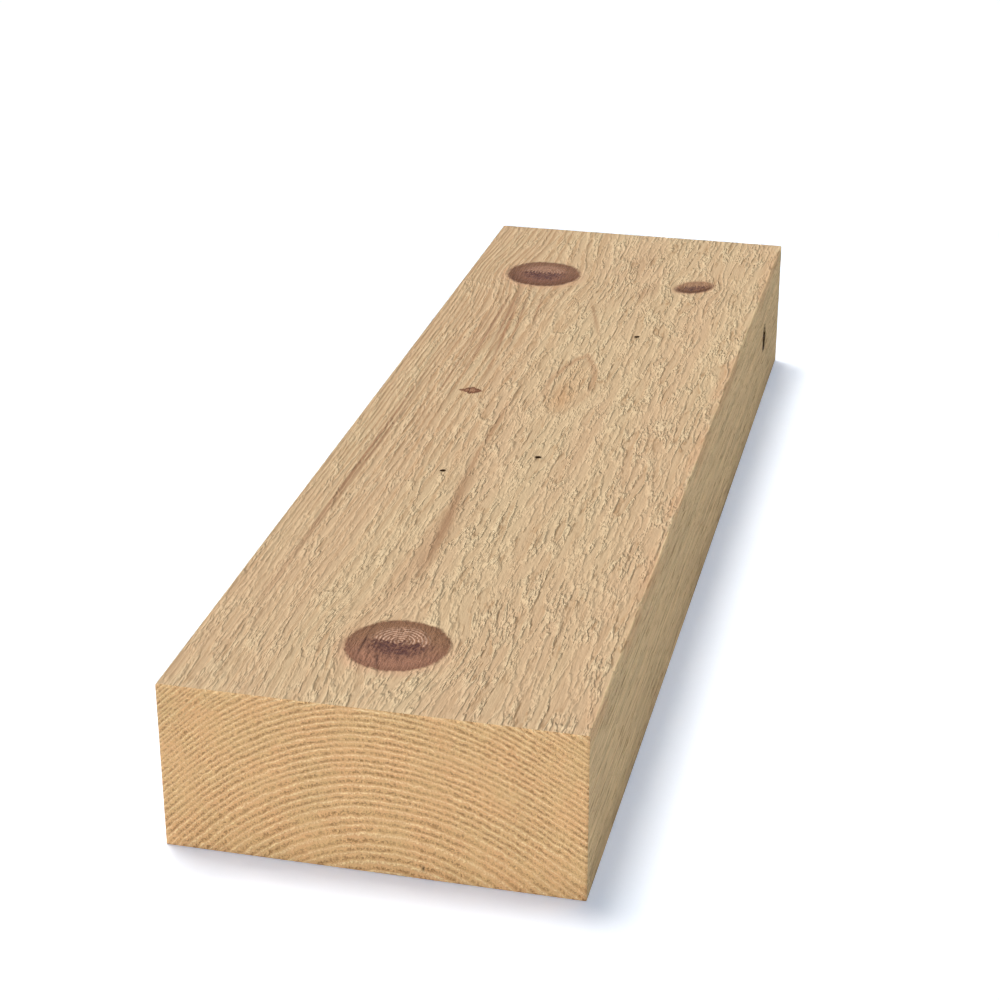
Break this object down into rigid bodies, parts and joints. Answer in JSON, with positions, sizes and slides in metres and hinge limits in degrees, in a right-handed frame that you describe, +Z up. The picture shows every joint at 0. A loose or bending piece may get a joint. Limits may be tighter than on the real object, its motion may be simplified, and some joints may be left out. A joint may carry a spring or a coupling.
{
  "type": "timber lumber plank",
  "caption": "Short rectangular plank of rough-sawn softwood with flat parallel faces, square-cut ends and natural knots, for building, packing out or cutting down.",
  "frame": {"origin": "middle of the plank's underside", "axes": "+X along the grain, from the near cross-cut end to the far one; +Y across the width, to the left edge as the picture shows it; +Z up through the thickness, out of the upper face"},
  "size_m": [0.3048, 0.0888, 0.0381],
  "materials": {
    "sawn_softwood": "matte"
  },
  "bodies": {
    "root": {"plank": "sawn_softwood"}
  },
  "joints": []
}
